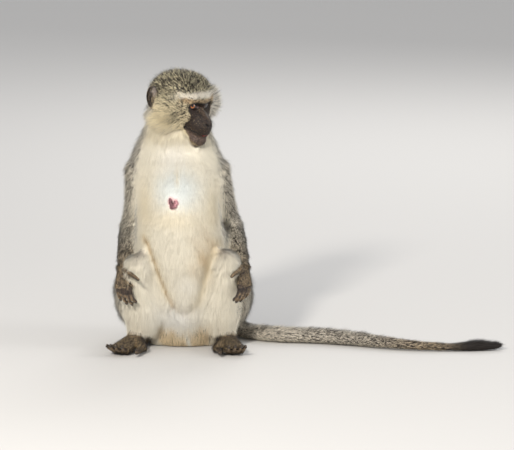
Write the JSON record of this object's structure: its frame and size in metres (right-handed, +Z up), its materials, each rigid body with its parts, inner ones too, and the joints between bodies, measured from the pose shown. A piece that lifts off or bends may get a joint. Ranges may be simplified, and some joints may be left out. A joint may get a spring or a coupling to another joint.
{
  "type": "vervet monkey",
  "caption": "Life-size seated vervet monkey with a dark face, white brow, pale chest, grizzled arms and a long tail lying out to one side on the ground.",
  "frame": {"origin": "on the ground, under the middle of the seat", "axes": "+Z up; the animal's chest faces -Y, so +X is the animal's own left, and its tail lies out along +X"},
  "size_m": [0.5896, 0.2147, 0.4182],
  "materials": {
    "coat_cream": "soft, slightly glossy long cream fur",
    "coat_grizzled": "matt grey fur speckled dark and pale",
    "coat_olive": "matt olive grey fur speckled dark and yellow",
    "coat_dark": "short dark brown to black fur",
    "skin_dark": "finely creased dark skin, satin",
    "eye": "wet, clear and glossy"
  },
  "bodies": {
    "root": {"eye_left": "eye", "eye_right": "eye", "thigh_left": "coat_grizzled", "thigh_right": "coat_grizzled", "trunk": "coat_cream", "neck": "coat_cream", "lower_jaw": "skin_dark", "head": "coat_olive", "ear_left": "skin_dark", "ear_right": "skin_dark", "upper_arm_left": "coat_grizzled", "upper_arm_right": "coat_grizzled", "shank_left": "coat_cream", "shank_right": "coat_cream", "foot_left": "coat_dark", "foot_right": "coat_dark", "forearm_left": "coat_grizzled", "forearm_right": "coat_grizzled", "hand_left": "coat_dark", "hand_right": "coat_dark", "tail_root": "coat_grizzled", "tail_middle": "coat_grizzled", "tail_end": "coat_grizzled", "tail_tuft": "coat_dark"}
  },
  "joints": []
}
